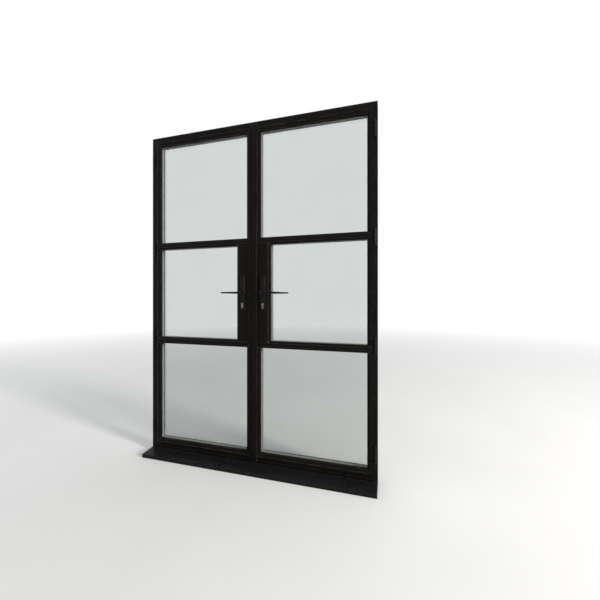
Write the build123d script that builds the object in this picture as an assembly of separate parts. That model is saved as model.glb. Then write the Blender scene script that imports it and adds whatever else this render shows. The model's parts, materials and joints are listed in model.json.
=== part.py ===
from build123d import *
import os

# A pair of glazed doors in their frame, standing on a projecting sill.
# X runs along the width, Y goes indoors, Z is up, all in millimetres.
# The origin is under the middle of the sill, in the plane of the frame's outer face.

# Outer frame
FRAME_WIDTH = 1490.0
FRAME_HEIGHT = 2100.0
FRAME_FACE = 10.5
THRESHOLD_FACE = 16.5
FRAME_WALL = 2.0
EDGE_GAP = 3.5
STOP_LAP = 19.0
STOP_DEPTH = 11.0
SEAL_SPACE = 3.0
SEAL_WIDTH = 8.0
SEAL_SETBACK = 2.0
SEAL_CLEARANCE = 0.3

# Fixing holes through the frame
FIXING_RADIUS = 3.75
FIXING_DEPTH = 31.0
JAMB_FIXING_HEIGHT = 1050.0
JAMB_FIXING_SPACINGS = (1440.0, 900.0)
HEAD_FIXING_SPACING = 800.0

# Sill
SILL_HEIGHT = 29.0
SILL_NOSE = 23.0
SILL_PROJECTION = 94.0
SILL_WALL = 2.2
SILL_UPSTAND = 14.0
SILL_CAP = 2.0
SILL_ROUND = 3.0
DRIP_WIDTH = 4.0
DRIP_HEIGHT = 3.0
DRIP_SETBACK = 9.0

# Leaf sections
MEETING_GAP = 5.5
LEAF_DEPTH = 62.0
LEAF_WALL = 2.0
LEAF_MEMBER = 43.0
LEAF_BEVEL = 20.5
BAR_HEIGHT = 45.0
BAR_BEVEL = 12.5
LOWER_BAR = 708.0
UPPER_BAR = 1343.0
BEVEL_STEP = 4.0
BEVEL_BACK = 10.0
ARRIS = 1.0

# Glazing
REBATE = 12.0
GLASS_FRONT = 25.0
PANE = 4.0
CAVITY = 16.0
GLASS_EDGE_GAP = 3.0
SPACER_WIDTH = 8.5
GASKET_OUTER = 3.0
GASKET_INNER = 2.5
GASKET_WIDTH = 6.0
GASKET_SETBACK = 0.8
BEAD_SETBACK = 1.0
BEAD_WALL = 1.4
BEAD_BEVEL = 4.0

# Groove, faceplate and drive rods in the meeting edge
GROOVE_DEPTH_LINE = 31.0
FACEPLATE_WIDTH = 20.0
FACEPLATE = 3.0
FACEPLATE_END = 92.0
CHANNEL_WIDTH = 12.0
CHANNEL_DEPTH = 11.0
ROD_WIDTH = 9.0
ROD_THICKNESS = 6.0
ROD_LINE = 6.5
BOLT_RADIUS = 4.2
BOLT_END = 40.0
BOLT_SETBACK = 1.0
BOLT_CLEARANCE = 0.6
KEEP = 1.5
KEEP_LENGTH = 44.0
KEEP_WIDTH = 24.0
MEETING_SEAL = 1.5
MEETING_SEAL_WIDTH = 6.0
MEETING_SEAL_DEPTH = 8.0

# Lock panel, lock case and deadbolt
LOCK_REACH = 110.0
LOCK_BEVEL = 15.0
LEVER_HEIGHT = 1048.0
LOCK_CENTRES = 72.0
BACKSET = 65.25
CASE_THICKNESS = 18.0
CASE_LENGTH = 86.0
CASE_ABOVE = 40.0
CASE_BELOW = 117.0
CASE_WALL = 1.5
CASE_CLEARANCE = 0.5
ROD_IN_CASE = 15.0
DEADBOLT_DROP = 36.0
DEADBOLT_HEIGHT = 19.0
DEADBOLT_THICKNESS = 13.0
DEADBOLT_LENGTH = 55.0
DEADBOLT_SETBACK = 0.5
WINDOW_CLEARANCE = 0.4

# Cylinder with its key side and its thumb turn
CYLINDER_RADIUS = 8.5
CYLINDER_FOOT = 5.0
CYLINDER_DROP = 24.5
CYLINDER_PROUD = 3.0
CYLINDER_FIT = 0.3
PLUG_RADIUS = 6.55
PLUG_CLEARANCE = 0.05
KEYWAY_WIDTH = 1.8
KEYWAY_HEIGHT = 9.0
KEYWAY_DEPTH = 22.0
CAM_WIDTH = 10.0
CAM_REACH = 15.3
CAM_TONGUE = 6.0
CAM_CLEARANCE = 0.5
TURN_RADIUS = 10.0
TURN_COLLAR = 8.0
TURN_WING = 14.0
TURN_WING_WIDTH = 7.0
TURN_WING_ROUND = 2.3
TURN_GAP = 0.4

# Lever handles
BACKPLATE_WIDTH = 30.0
BACKPLATE_ABOVE = 107.0
BACKPLATE_BELOW = 113.0
BACKPLATE = 9.0
BACKPLATE_CORNER = 8.0
BACKPLATE_ARRIS = 3.0
NECK_RADIUS = 8.5
NECK_CLEARANCE = 0.3
NECK_END = 1.0
GRIP_LENGTH = 126.0
GRIP_STAND = 49.0
GRIP_ROOT = 12.5
GRIP_TIP = 9.0
GRIP_ROOT_HEIGHT = 13.5
GRIP_TIP_HEIGHT = 8.5
GRIP_ROUND = 3.5
ELBOW_ROUND = 8.0
SPINDLE = 8.0
SPINDLE_CLEARANCE = 0.05
SPINDLE_IN_LEVER = 21.0

# Hinges
HINGE_STAND = 6.0
HINGE_HEIGHT = 88.0
HINGE_RADIUS = 5.5
HINGE_MIDDLE = 30.0
HINGE_SLIP = 0.4
HINGE_PLATE = 1.5
HINGE_PLATE_DEPTH = 45.0
HINGE_PIN_RADIUS = 3.0
HINGE_PIN_FIT = 0.05
HINGE_CAP = 3.0
HINGE_CAP_ROUND = 1.8
HINGE_LOWEST = 154.0
HINGE_HIGHEST = 154.0
HINGE_COUNT = 4

# Raised bar on the meeting edge of the right leaf
RAISED_BAR_EDGE = 1.25
RAISED_BAR_WIDTH = 26.0
RAISED_BAR_STAND = 15.0
RAISED_BAR_WALL = 1.6

# How far cutting shapes run past a surface, and how near a corner counts as met
CUT_PAST = 1.0
MET = 0.01

# Places worked out from the sizes above
HALF_WIDTH = FRAME_WIDTH / 2
STOP_FRONT = LEAF_DEPTH + SEAL_SPACE
FRAME_DEPTH = STOP_FRONT + STOP_DEPTH
STOP_REACH = FRAME_FACE + EDGE_GAP + STOP_LAP
FRAME_BOTTOM = SILL_HEIGHT
FRAME_TOP = FRAME_BOTTOM + FRAME_HEIGHT
LEAF_IN = MEETING_GAP / 2
LEAF_OUT = HALF_WIDTH - FRAME_FACE - EDGE_GAP
LEAF_BOTTOM = FRAME_BOTTOM + THRESHOLD_FACE + EDGE_GAP
LEAF_TOP = FRAME_TOP - FRAME_FACE - EDGE_GAP
LEAF_HEIGHT = LEAF_TOP - LEAF_BOTTOM
REBATE_FRONT = GLASS_FRONT - GASKET_OUTER
GLASS_BACK = GLASS_FRONT + 2 * PANE + CAVITY
BEAD_FRONT = GLASS_BACK + GASKET_INNER
LOWER_BAR_Z = FRAME_BOTTOM + LOWER_BAR
UPPER_BAR_Z = FRAME_BOTTOM + UPPER_BAR
LEVER_X = LEAF_IN + BACKSET
LEVER_Z = FRAME_BOTTOM + LEVER_HEIGHT
CYLINDER_Z = LEVER_Z - LOCK_CENTRES
DEADBOLT_Z = LEVER_Z - DEADBOLT_DROP
ROD_X = LEAF_IN + ROD_LINE
HINGE_X = LEAF_OUT + EDGE_GAP / 2


def outline(*points):
    """A flat face with straight sides through the points."""
    return make_face(Polyline(*points, close=True))


def rounded(face, corners, radius):
    """The face with the named corners rounded."""
    picked = []
    for vertex in face.vertices():
        for x, y in corners:
            if abs(vertex.X - x) < MET and abs(vertex.Y - y) < MET:
                picked.append(vertex)
    return fillet(picked, radius)


def chamber(face, wall):
    """The hollow inside a face that leaves a wall of even thickness."""
    return offset(face, amount=-wall, kind=Kind.INTERSECTION)


def block(x, y, z):
    """A box between two values on each axis."""
    size = Box(x[1] - x[0], y[1] - y[0], z[1] - z[0], align=(Align.MIN, Align.MIN, Align.MIN))
    return Pos(x[0], y[0], z[0]) * size


def across(face, x, z, y):
    """A face drawn in X and Z, moved to x, z and carried from y[0] to y[1]."""
    return extrude(Plane.XZ.offset(-y[1]) * Pos(x, z) * face, amount=y[1] - y[0])


def upright(radius, x, y, z):
    """A round bar along Z from z[0] to z[1]."""
    return Pos(x, y, z[0]) * extrude(Circle(radius), amount=z[1] - z[0])


def cut_length(section, length, mitred=(True, True)):
    """A length of a section along Z: X is its inward side, Y its depth. Mitres close towards inward."""
    reach = section.bounding_box().max.X
    low = reach if mitred[0] else 0.0
    high = length - reach if mitred[1] else length
    wedge = outline((0, 0), (0, length), (reach, high), (reach, low))
    wedge = extrude(Plane.XZ * wedge, amount=2 * FRAME_DEPTH, both=True)
    return extrude(section, amount=length) & wedge


def place(piece, corner, inward):
    """Turns a cut length so that its X points inward, and puts its start on the corner."""
    along = Vector(*inward).cross(Vector(0, 1, 0))
    return Plane(origin=corner, x_dir=inward, z_dir=along).location * piece


def ring(section, x, z):
    """Four mitred lengths round a rectangle: low X, high X, bottom and top."""
    height = z[1] - z[0]
    width = x[1] - x[0]
    low = place(cut_length(section, height), (x[0], 0, z[0]), (1, 0, 0))
    high = place(cut_length(section, height), (x[1], 0, z[1]), (-1, 0, 0))
    bottom = place(cut_length(section, width), (x[1], 0, z[0]), (0, 0, 1))
    top = place(cut_length(section, width), (x[0], 0, z[1]), (0, 0, -1))
    return [low, high, bottom, top]


def glazing_side(sight, bevel):
    """Corners of a section on its glass side, from the outer face to the back face."""
    rebate = sight - REBATE
    front = [(sight - bevel, 0), (sight - bevel, BEVEL_STEP), (sight, BEVEL_BACK), (sight, REBATE_FRONT)]
    return front + [(rebate, REBATE_FRONT), (rebate, LEAF_DEPTH)]


def member_outline():
    """Outer form of the stiles and rails, with X from the leaf's edge towards the glass."""
    return outline((0, 0), *glazing_side(LEAF_MEMBER, LEAF_BEVEL), (0, LEAF_DEPTH))


def member_section():
    """The stiles and rails: a hollow length with a bevelled lip in front of the glass."""
    edges = [(0, 0), (LEAF_MEMBER - LEAF_BEVEL, 0), (LEAF_MEMBER, BEVEL_BACK)]
    face = member_outline()
    return rounded(face, edges, ARRIS) - chamber(face, LEAF_WALL)


def meeting_section():
    """The meeting stile: the same section with a stepped groove down its edge."""
    seat = [GROOVE_DEPTH_LINE - FACEPLATE_WIDTH / 2, GROOVE_DEPTH_LINE + FACEPLATE_WIDTH / 2]
    slot = [GROOVE_DEPTH_LINE - CHANNEL_WIDTH / 2, GROOVE_DEPTH_LINE + CHANNEL_WIDTH / 2]
    groove = [(0, seat[1]), (FACEPLATE, seat[1]), (FACEPLATE, slot[1]), (CHANNEL_DEPTH, slot[1])]
    groove += [(CHANNEL_DEPTH, slot[0]), (FACEPLATE, slot[0]), (FACEPLATE, seat[0]), (0, seat[0])]
    face = outline((0, 0), *glazing_side(LEAF_MEMBER, LEAF_BEVEL), (0, LEAF_DEPTH), *groove)
    edges = [(0, 0), (LEAF_MEMBER - LEAF_BEVEL, 0), (LEAF_MEMBER, BEVEL_BACK)]
    return rounded(face, edges, ARRIS) - chamber(face, LEAF_WALL)


def bar_outline():
    """Outer form of the glazing bars, with X up through the bar's height."""
    upper = glazing_side(BAR_HEIGHT, BAR_BEVEL)
    lower = [(BAR_HEIGHT - x, y) for x, y in reversed(upper)]
    return outline(*lower, *upper)


def bar_section():
    """The glazing bars: hollow, with a bevelled lip above and below."""
    edges = [(0, BEVEL_BACK), (BAR_BEVEL, 0), (BAR_HEIGHT - BAR_BEVEL, 0), (BAR_HEIGHT, BEVEL_BACK)]
    return rounded(bar_outline(), edges, ARRIS) - chamber(bar_outline(), LEAF_WALL)


def euro_profile(clearance=0.0):
    """The pear-shaped outline of the lock cylinder, drawn round its plug."""
    foot = CYLINDER_FOOT + clearance
    toe = CYLINDER_FOOT - CYLINDER_DROP
    stem = outline((-foot, 0), (foot, 0), (foot, toe), (-foot, toe))
    return Circle(CYLINDER_RADIUS + clearance) + stem + Pos(0, toe) * Circle(foot)


def seal_strips(x, z):
    """Rubber strips on the face of the stop, all round behind the leaves."""
    start = STOP_REACH - SEAL_SETBACK - SEAL_WIDTH
    strip = outline(
        (start, LEAF_DEPTH + SEAL_CLEARANCE),
        (start + SEAL_WIDTH, LEAF_DEPTH + SEAL_CLEARANCE),
        (start + SEAL_WIDTH, STOP_FRONT),
        (start, STOP_FRONT),
    )
    return ring(strip, x, z)


def frame_section():
    """The jambs and head: a hollow leg beside the leaf and a hollow stop behind it."""
    face = outline(
        (0, 0),
        (FRAME_FACE, 0),
        (FRAME_FACE, STOP_FRONT),
        (STOP_REACH, STOP_FRONT),
        (STOP_REACH, FRAME_DEPTH),
        (0, FRAME_DEPTH),
    )
    return rounded(face, [(FRAME_FACE, 0), (STOP_REACH, FRAME_DEPTH)], ARRIS) - chamber(face, FRAME_WALL)


def bolt_holes(z):
    """Round holes for the shoot bolts of both leaves, through one wall of the frame."""
    hole = upright(BOLT_RADIUS + BOLT_CLEARANCE, ROD_X, GROOVE_DEPTH_LINE, z)
    return hole + mirror(hole, about=Plane.YZ)


def jamb():
    """The right jamb: square on the sill, mitred under the head, with its fixing holes."""
    length = cut_length(frame_section(), FRAME_HEIGHT, (True, False))
    piece = place(length, (HALF_WIDTH, 0, FRAME_TOP), (-1, 0, 0))
    for spacing in JAMB_FIXING_SPACINGS:
        for end in (-0.5, 0.5):
            height = FRAME_BOTTOM + JAMB_FIXING_HEIGHT + end * spacing
            hole = Plane.YZ * Pos(FIXING_DEPTH, height) * Circle(FIXING_RADIUS)
            piece -= extrude(hole, amount=HALF_WIDTH + FIXING_RADIUS)
    return piece


def head():
    """The head, mitred at both ends, with fixing holes and the upper bolt holes."""
    piece = place(cut_length(frame_section(), FRAME_WIDTH), (-HALF_WIDTH, 0, FRAME_TOP), (0, 0, -1))
    for end in (-0.5, 0.5):
        z = (LEAF_TOP, FRAME_TOP + FRAME_WALL)
        piece -= upright(FIXING_RADIUS, end * HEAD_FIXING_SPACING, FIXING_DEPTH, z)
    low = FRAME_TOP - FRAME_FACE
    return piece - bolt_holes((low - CUT_PAST, low + FRAME_WALL + CUT_PAST))


def threshold():
    """The threshold: a low leg under the leaves and a stop behind them, notched round the jambs."""
    stop_top = THRESHOLD_FACE + EDGE_GAP + STOP_LAP
    face = outline(
        (0, 0),
        (THRESHOLD_FACE, 0),
        (THRESHOLD_FACE, STOP_FRONT),
        (stop_top, STOP_FRONT),
        (stop_top, FRAME_DEPTH),
        (0, FRAME_DEPTH),
    )
    section = rounded(face, [(THRESHOLD_FACE, 0), (stop_top, FRAME_DEPTH)], ARRIS) - chamber(face, FRAME_WALL)
    half = HALF_WIDTH - FRAME_FACE
    piece = place(extrude(section, amount=2 * half), (half, 0, FRAME_BOTTOM), (0, 0, 1))
    notch_x = (HALF_WIDTH - STOP_REACH, HALF_WIDTH)
    notch = block(notch_x, (STOP_FRONT, FRAME_DEPTH), (FRAME_BOTTOM, FRAME_BOTTOM + stop_top))
    piece = piece - notch - mirror(notch, about=Plane.YZ)
    top = FRAME_BOTTOM + THRESHOLD_FACE
    return piece - bolt_holes((top - FRAME_WALL - CUT_PAST, top + CUT_PAST))


def frame_seals():
    """The four seal strips: the lowest one stands on the threshold's higher stop."""
    lift = THRESHOLD_FACE - FRAME_FACE
    return seal_strips((-HALF_WIDTH, HALF_WIDTH), (FRAME_BOTTOM + lift, FRAME_TOP))


def bolt_keep(z):
    """A keep plate with a hole for each leaf's shoot bolt."""
    y = (GROOVE_DEPTH_LINE - KEEP_WIDTH / 2, GROOVE_DEPTH_LINE + KEEP_WIDTH / 2)
    plate = block((-KEEP_LENGTH / 2, KEEP_LENGTH / 2), y, (z, z + KEEP))
    return plate - bolt_holes((z - CUT_PAST, z + KEEP + CUT_PAST))


def bolt_keeps():
    """The two keeps, under the head and on the threshold."""
    return [bolt_keep(FRAME_TOP - FRAME_FACE - KEEP), bolt_keep(FRAME_BOTTOM + THRESHOLD_FACE)]


def sill_outline():
    """The sill from the side: X is Y here, Y is up. A sloped top, a nose with a drip, and an upstand."""
    drip = DRIP_SETBACK - SILL_PROJECTION
    return outline(
        (-SILL_PROJECTION, 0),
        (drip, 0),
        (drip, DRIP_HEIGHT),
        (drip + DRIP_WIDTH, DRIP_HEIGHT),
        (drip + DRIP_WIDTH, 0),
        (FRAME_DEPTH + SILL_WALL, 0),
        (FRAME_DEPTH + SILL_WALL, SILL_HEIGHT + SILL_UPSTAND),
        (FRAME_DEPTH, SILL_HEIGHT + SILL_UPSTAND),
        (FRAME_DEPTH, SILL_HEIGHT),
        (0, SILL_HEIGHT),
        (-SILL_PROJECTION, SILL_NOSE),
    )


def sill_section():
    """The hollow sill with a web under the frame's face."""
    drip = DRIP_SETBACK - SILL_PROJECTION
    rear = outline(
        (SILL_WALL, SILL_WALL),
        (FRAME_DEPTH, SILL_WALL),
        (FRAME_DEPTH, SILL_HEIGHT - SILL_WALL),
        (SILL_WALL, SILL_HEIGHT - SILL_WALL),
    )
    fall = (SILL_HEIGHT - SILL_NOSE) / SILL_PROJECTION
    inner = drip + DRIP_WIDTH + SILL_WALL
    front = outline(
        (inner, SILL_WALL),
        (0, SILL_WALL),
        (0, SILL_HEIGHT - SILL_WALL),
        (inner, SILL_HEIGHT - SILL_WALL + fall * inner),
    )
    nose = [(-SILL_PROJECTION, 0), (-SILL_PROJECTION, SILL_NOSE)]
    return rounded(sill_outline(), nose, SILL_ROUND) - rear - front


def sill():
    """The sill, cut short at each end by the thickness of its end cap."""
    half = HALF_WIDTH - SILL_CAP
    return Pos(-half, 0, 0) * extrude(Plane.YZ * sill_section(), amount=2 * half)


def sill_end_caps():
    """Flat caps that close both ends of the sill."""
    nose = [(-SILL_PROJECTION, 0), (-SILL_PROJECTION, SILL_NOSE)]
    cap = extrude(Plane.YZ * rounded(sill_outline(), nose, SILL_ROUND), amount=SILL_CAP)
    return [Pos(-HALF_WIDTH, 0, 0) * cap, Pos(HALF_WIDTH - SILL_CAP, 0, 0) * cap]


def hinge_levels():
    """Heights of the middle of each hinge, evenly spaced between the lowest and the highest."""
    pitch = (FRAME_HEIGHT - HINGE_LOWEST - HINGE_HIGHEST) / (HINGE_COUNT - 1)
    return [FRAME_BOTTOM + HINGE_LOWEST + pitch * i for i in range(HINGE_COUNT)]


def hinge_half(plate_x, spans, level, bore):
    """One half of a hinge: a plate in the gap, carrying knuckles over the given spans of height."""
    half = HINGE_HEIGHT / 2
    piece = block(plate_x, (0, HINGE_PLATE_DEPTH), (level - half, level + half))
    for low, high in spans:
        z = (level + low, level + high)
        piece += upright(HINGE_RADIUS, HINGE_X, -HINGE_STAND, z)
        piece += block(plate_x, (-HINGE_STAND, 0), z)
    return piece - upright(bore, HINGE_X, -HINGE_STAND, (level - HINGE_HEIGHT, level + HINGE_HEIGHT))


def hinge_frame_halves():
    """The halves fixed to the right jamb, with an upper and a lower knuckle."""
    x = (HALF_WIDTH - FRAME_FACE - HINGE_PLATE, HALF_WIDTH - FRAME_FACE)
    inner = HINGE_MIDDLE / 2
    outer = HINGE_HEIGHT / 2
    spans = [(-outer, -inner), (inner, outer)]
    bore = HINGE_PIN_RADIUS + HINGE_PIN_FIT
    return [hinge_half(x, spans, level, bore) for level in hinge_levels()]


def hinge_leaf_halves():
    """The halves fixed to the leaf's edge, with one knuckle between the other two."""
    x = (LEAF_OUT, LEAF_OUT + HINGE_PLATE)
    inner = HINGE_MIDDLE / 2 - HINGE_SLIP
    bore = HINGE_PIN_RADIUS + HINGE_PIN_FIT
    return [hinge_half(x, [(-inner, inner)], level, bore) for level in hinge_levels()]


def hinge_pin(level):
    """A pin with a domed cap on the hinge."""
    top = level + HINGE_HEIGHT / 2
    shank = upright(HINGE_PIN_RADIUS, HINGE_X, -HINGE_STAND, (top - HINGE_HEIGHT, top))
    cap = upright(HINGE_RADIUS, HINGE_X, -HINGE_STAND, (top, top + HINGE_CAP))
    cap = fillet(cap.edges().group_by(Axis.Z)[-1], HINGE_CAP_ROUND)
    return shank + cap


def case_pocket():
    """The space that the lock case takes in the meeting stile and the lock panel."""
    half = CASE_THICKNESS / 2 + CASE_CLEARANCE
    y = (GROOVE_DEPTH_LINE - half, GROOVE_DEPTH_LINE + half)
    z = (LEVER_Z - CASE_BELOW - CASE_CLEARANCE, LEVER_Z + CASE_ABOVE + CASE_CLEARANCE)
    return block((0, LEAF_IN + FACEPLATE + CASE_LENGTH + CASE_CLEARANCE), y, z)


def deadbolt_window():
    """The opening that lets the deadbolt out of its case and into the other leaf."""
    half_y = DEADBOLT_THICKNESS / 2 + WINDOW_CLEARANCE
    half_z = DEADBOLT_HEIGHT / 2 + WINDOW_CLEARANCE
    y = (GROOVE_DEPTH_LINE - half_y, GROOVE_DEPTH_LINE + half_y)
    return block((0, LEAF_IN + CHANNEL_DEPTH), y, (DEADBOLT_Z - half_z, DEADBOLT_Z + half_z))


def meeting_stile():
    """The grooved stile at the middle of the doors, cut away for the lock case."""
    length = cut_length(meeting_section(), LEAF_HEIGHT)
    return place(length, (LEAF_IN, 0, LEAF_BOTTOM), (1, 0, 0)) - case_pocket()


def hinge_stile():
    """The outer stile that carries the hinges."""
    return place(cut_length(member_section(), LEAF_HEIGHT), (LEAF_OUT, 0, LEAF_TOP), (-1, 0, 0))


def bolt_passage(z):
    """The way of a shoot bolt through a rail's corner."""
    return upright(BOLT_RADIUS + BOLT_CLEARANCE, ROD_X, GROOVE_DEPTH_LINE, z)


def bottom_rail():
    """The lower rail, mitred into both stiles."""
    width = LEAF_OUT - LEAF_IN
    piece = place(cut_length(member_section(), width), (LEAF_OUT, 0, LEAF_BOTTOM), (0, 0, 1))
    return piece - bolt_passage((LEAF_BOTTOM - LEAF_WALL, LEAF_BOTTOM + LEAF_MEMBER))


def top_rail():
    """The upper rail, mitred into both stiles."""
    width = LEAF_OUT - LEAF_IN
    piece = place(cut_length(member_section(), width), (LEAF_IN, 0, LEAF_TOP), (0, 0, -1))
    return piece - bolt_passage((LEAF_TOP - LEAF_MEMBER, LEAF_TOP + LEAF_WALL))


def stile_envelopes():
    """Both stiles as solid forms, which the bars and the lock panel are scribed to."""
    form = extrude(member_outline(), amount=LEAF_HEIGHT)
    inner = place(form, (LEAF_IN, 0, LEAF_BOTTOM), (1, 0, 0))
    return [inner, place(form, (LEAF_OUT, 0, LEAF_TOP), (-1, 0, 0))]


def bar_form(face, base):
    """A length of a bar's face across the leaf, with its lower edge at the base height."""
    return place(extrude(face, amount=LEAF_OUT - LEAF_IN), (LEAF_OUT, 0, base), (0, 0, 1))


def glazing_bar(base):
    """A bar scribed to both stiles."""
    piece = bar_form(bar_section(), base)
    for envelope in stile_envelopes():
        piece -= envelope
    return piece


def lock_panel():
    """A hollow panel as deep as the leaf, beside the stile and between the bars."""
    stile = member_outline()
    face = outline((0, 0), *glazing_side(LOCK_REACH, LOCK_BEVEL), (0, LEAF_DEPTH)) - stile
    lip = [(LOCK_REACH - LOCK_BEVEL, 0), (LOCK_REACH, BEVEL_BACK)]
    section = rounded(face, lip, ARRIS) - chamber(face, LEAF_WALL)
    length = UPPER_BAR_Z - LOWER_BAR_Z
    piece = place(extrude(section, amount=length), (LEAF_IN, 0, LOWER_BAR_Z + BAR_HEIGHT / 2), (1, 0, 0))
    for base in (LOWER_BAR_Z, UPPER_BAR_Z):
        piece -= bar_form(bar_outline(), base)
    piece -= case_pocket()
    through = (-CUT_PAST, LEAF_DEPTH + CUT_PAST)
    piece -= across(Circle(NECK_RADIUS + CASE_CLEARANCE), LEVER_X, LEVER_Z, through)
    return piece - across(euro_profile(CASE_CLEARANCE), LEVER_X, CYLINDER_Z, through)


def panes():
    """The three openings of the leaf between its sight lines, as ranges of X and Z."""
    x = (LEAF_IN + LEAF_MEMBER, LEAF_OUT - LEAF_MEMBER)
    middle_x = (LEAF_IN + LOCK_REACH, x[1])
    return [
        (x, (LEAF_BOTTOM + LEAF_MEMBER, LOWER_BAR_Z)),
        (middle_x, (LOWER_BAR_Z + BAR_HEIGHT, UPPER_BAR_Z)),
        (x, (UPPER_BAR_Z + BAR_HEIGHT, LEAF_TOP - LEAF_MEMBER)),
    ]


def grown(pane, reach):
    """A pane's opening made larger by the same reach on every side."""
    return [(low - reach, high + reach) for low, high in pane]


def sheets(front):
    """A sheet of glass for each pane, with its outer face at the given depth."""
    lap = REBATE - GLASS_EDGE_GAP
    return [block(x, (front, front + PANE), z) for x, z in (grown(pane, lap) for pane in panes())]


def glass_spacers():
    """The spacer round the cavity of each sealed unit."""
    lap = REBATE - GLASS_EDGE_GAP
    y = (GLASS_FRONT + PANE, GLASS_FRONT + PANE + CAVITY)
    spacers = []
    for pane in panes():
        x, z = grown(pane, lap)
        hole_x, hole_z = grown(pane, lap - SPACER_WIDTH)
        spacers.append(block(x, y, z) - block(hole_x, y, hole_z))
    return spacers


def bead_section():
    """A hollow glazing bead, with X from the rebate wall to just short of the sight line."""
    edge = REBATE - BEAD_SETBACK
    face = outline(
        (0, BEAD_FRONT),
        (edge, BEAD_FRONT),
        (edge, LEAF_DEPTH - BEAD_BEVEL),
        (edge - BEAD_BEVEL, LEAF_DEPTH),
        (0, LEAF_DEPTH),
    )
    return face - chamber(face, BEAD_WALL)


def glazing_beads():
    """Four mitred beads round each pane on the indoor side."""
    beads = []
    for pane in panes():
        x, z = grown(pane, REBATE)
        beads += ring(bead_section(), x, z)
    return beads


def gaskets():
    """Strips on both faces of each pane, and a seal down the meeting edge."""
    edge = REBATE - GASKET_SETBACK
    strips = []
    for pane in panes():
        x, z = grown(pane, REBATE)
        for low, high in ((REBATE_FRONT, GLASS_FRONT), (GLASS_BACK, BEAD_FRONT)):
            start = edge - GASKET_WIDTH
            end = edge - BEAD_SETBACK
            strip = outline((start, low), (end, low), (end, high), (start, high))
            strips += ring(strip, x, z)
    y = (MEETING_SEAL_DEPTH, MEETING_SEAL_DEPTH + MEETING_SEAL_WIDTH)
    strips.append(block((LEAF_IN - MEETING_SEAL, LEAF_IN), y, (LEAF_BOTTOM, LEAF_TOP)))
    return strips


def faceplate():
    """The long plate in the meeting edge, with the deadbolt's window."""
    y = (GROOVE_DEPTH_LINE - FACEPLATE_WIDTH / 2, GROOVE_DEPTH_LINE + FACEPLATE_WIDTH / 2)
    z = (LEAF_BOTTOM + FACEPLATE_END, LEAF_TOP - FACEPLATE_END)
    return block((LEAF_IN, LEAF_IN + FACEPLATE), y, z) - deadbolt_window()


def rod_space(extra):
    """Ranges of X and Y that the drive rods take, with a clearance round them."""
    half_x = ROD_THICKNESS / 2 + extra
    half_y = ROD_WIDTH / 2 + extra
    x = (ROD_X - half_x, ROD_X + half_x)
    return x, (GROOVE_DEPTH_LINE - half_y, GROOVE_DEPTH_LINE + half_y)


def lock_case():
    """A thin-walled case behind the faceplate, open for the rods, bolt, spindle and cylinder."""
    x = (LEAF_IN + FACEPLATE, LEAF_IN + FACEPLATE + CASE_LENGTH)
    y = (GROOVE_DEPTH_LINE - CASE_THICKNESS / 2, GROOVE_DEPTH_LINE + CASE_THICKNESS / 2)
    z = (LEVER_Z - CASE_BELOW, LEVER_Z + CASE_ABOVE)
    inside = [(low + CASE_WALL, high - CASE_WALL) for low, high in (x, y, z)]
    rod_x, rod_y = rod_space(CASE_CLEARANCE)
    piece = block(x, y, z) - block(*inside) - deadbolt_window()
    piece -= block(rod_x, rod_y, (z[0] - CUT_PAST, z[1] + CUT_PAST))
    through = (y[0] - CUT_PAST, y[1] + CUT_PAST)
    piece -= across(Circle(NECK_RADIUS), LEVER_X, LEVER_Z, through)
    return piece - across(euro_profile(CYLINDER_FIT), LEVER_X, CYLINDER_Z, through)


def shoot_bolt(inner, tip):
    """A flat drive rod from its inner end in the case, ending in a round bolt."""
    turn = 1 if tip > inner else -1
    shoulder = tip - turn * BOLT_END
    rod_x, rod_y = rod_space(0)
    rod = block(rod_x, rod_y, (min(inner, shoulder), max(inner, shoulder)))
    end = upright(BOLT_RADIUS, ROD_X, GROOVE_DEPTH_LINE, (min(shoulder, tip), max(shoulder, tip)))
    return rod + end


def top_bolt():
    """The upper shoot bolt with its drive rod, drawn back into the leaf."""
    return shoot_bolt(LEVER_Z + CASE_ABOVE - ROD_IN_CASE, LEAF_TOP - BOLT_SETBACK)


def bottom_bolt():
    """The lower shoot bolt with its drive rod, drawn back into the leaf."""
    return shoot_bolt(LEVER_Z - CASE_BELOW + ROD_IN_CASE, LEAF_BOTTOM + BOLT_SETBACK)


def deadbolt():
    """The bolt that runs from the right leaf's case into the left leaf, drawn back."""
    x = (LEAF_IN + DEADBOLT_SETBACK, LEAF_IN + DEADBOLT_SETBACK + DEADBOLT_LENGTH)
    half = DEADBOLT_THICKNESS / 2
    y = (GROOVE_DEPTH_LINE - half, GROOVE_DEPTH_LINE + half)
    z = (DEADBOLT_Z - DEADBOLT_HEIGHT / 2, DEADBOLT_Z + DEADBOLT_HEIGHT / 2)
    piece = block(x, y, z)
    return fillet(piece.faces().sort_by(Axis.X)[0].edges(), ARRIS)


def lock_cylinder():
    """The cylinder's body: bored for both plugs and cut away in its middle for the cam."""
    reach = BACKPLATE + CYLINDER_PROUD
    y = (-reach, LEAF_DEPTH + reach)
    piece = across(euro_profile(), LEVER_X, CYLINDER_Z, y)
    through = (y[0] - CUT_PAST, y[1] + CUT_PAST)
    piece -= across(Circle(PLUG_RADIUS + PLUG_CLEARANCE), LEVER_X, CYLINDER_Z, through)
    half = CAM_WIDTH / 2 + CAM_CLEARANCE
    gap = (GROOVE_DEPTH_LINE - half, GROOVE_DEPTH_LINE + half)
    return piece - across(Circle(CAM_REACH + CAM_CLEARANCE), LEVER_X, CYLINDER_Z, gap)


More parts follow.
